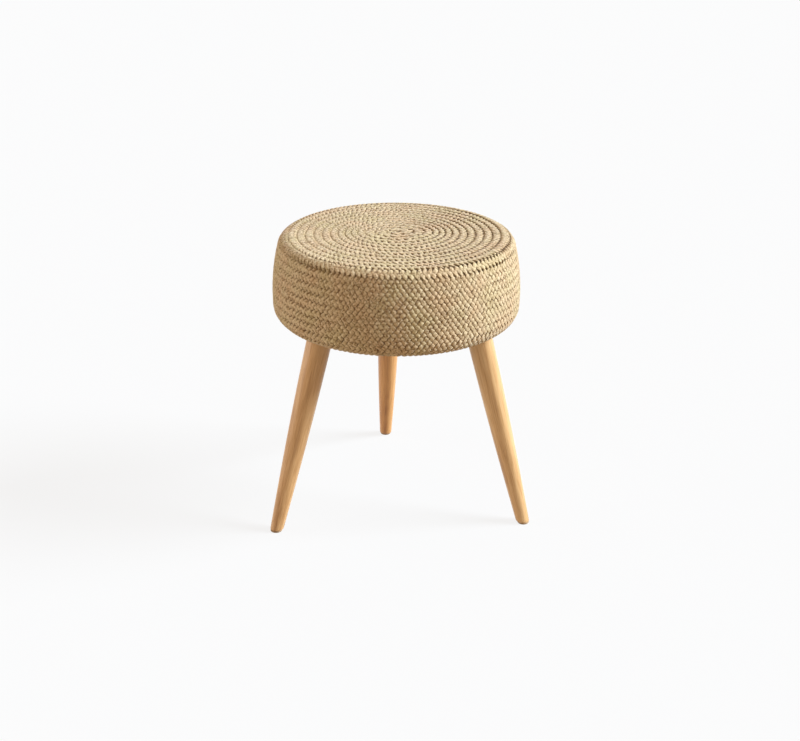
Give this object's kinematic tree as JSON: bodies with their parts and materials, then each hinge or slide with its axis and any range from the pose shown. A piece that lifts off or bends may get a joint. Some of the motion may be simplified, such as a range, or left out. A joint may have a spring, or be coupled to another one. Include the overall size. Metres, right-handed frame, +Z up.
{
  "type": "stool",
  "caption": "Round padded stool: a drum seat covered in one coiled jute braid, on splayed, tapered, turned wooden legs that screw to angled plates.",
  "frame": {"origin": "on the floor, at the middle of the box that the stool fills", "axes": "+Z up, +Y towards the single back leg, +X to the right of someone who faces that leg"},
  "size_m": [0.4128, 0.4298, 0.453],
  "materials": {
    "jute_braid": "natural jute, coarse matte braid",
    "lining_cloth": "unbleached cotton, matte",
    "soft_foam": "open-cell foam, matte",
    "firm_foam": "bonded chip foam, matte",
    "plywood": "raw birch plywood",
    "dust_cloth": "black spun-bonded cloth",
    "staple_wire": "bright flat wire",
    "leg_wood": "turned pale hardwood, satin lacquer",
    "glide_felt": "pressed felt, matte",
    "plate_steel": "pressed steel, satin",
    "zinc_steel": "zinc plated, semi-bright"
  },
  "bodies": {
    "root": {"braided_cover": "jute_braid", "cover_lining": "lining_cloth", "soft_foam_pad": "soft_foam", "firm_foam_block": "firm_foam", "plywood_base": "plywood", "dust_cloth": "dust_cloth", "staple_1": "staple_wire", "staple_2": "staple_wire", "staple_3": "staple_wire", "staple_4": "staple_wire", "staple_5": "staple_wire", "staple_6": "staple_wire", "staple_7": "staple_wire", "staple_8": "staple_wire", "staple_9": "staple_wire", "staple_10": "staple_wire", "staple_11": "staple_wire", "staple_12": "staple_wire", "leg_1": "leg_wood", "foot_glide_1": "glide_felt", "mounting_plate_1": "plate_steel", "hanger_bolt_1": "zinc_steel", "plate_1_screw_1": "zinc_steel", "plate_1_screw_2": "zinc_steel", "plate_1_screw_3": "zinc_steel", "plate_1_screw_4": "zinc_steel", "leg_2": "leg_wood", "foot_glide_2": "glide_felt", "mounting_plate_2": "plate_steel", "hanger_bolt_2": "zinc_steel", "plate_2_screw_1": "zinc_steel", "plate_2_screw_2": "zinc_steel", "plate_2_screw_3": "zinc_steel", "plate_2_screw_4": "zinc_steel", "leg_3": "leg_wood", "foot_glide_3": "glide_felt", "mounting_plate_3": "plate_steel", "hanger_bolt_3": "zinc_steel", "plate_3_screw_1": "zinc_steel", "plate_3_screw_2": "zinc_steel", "plate_3_screw_3": "zinc_steel", "plate_3_screw_4": "zinc_steel"}
  },
  "joints": []
}
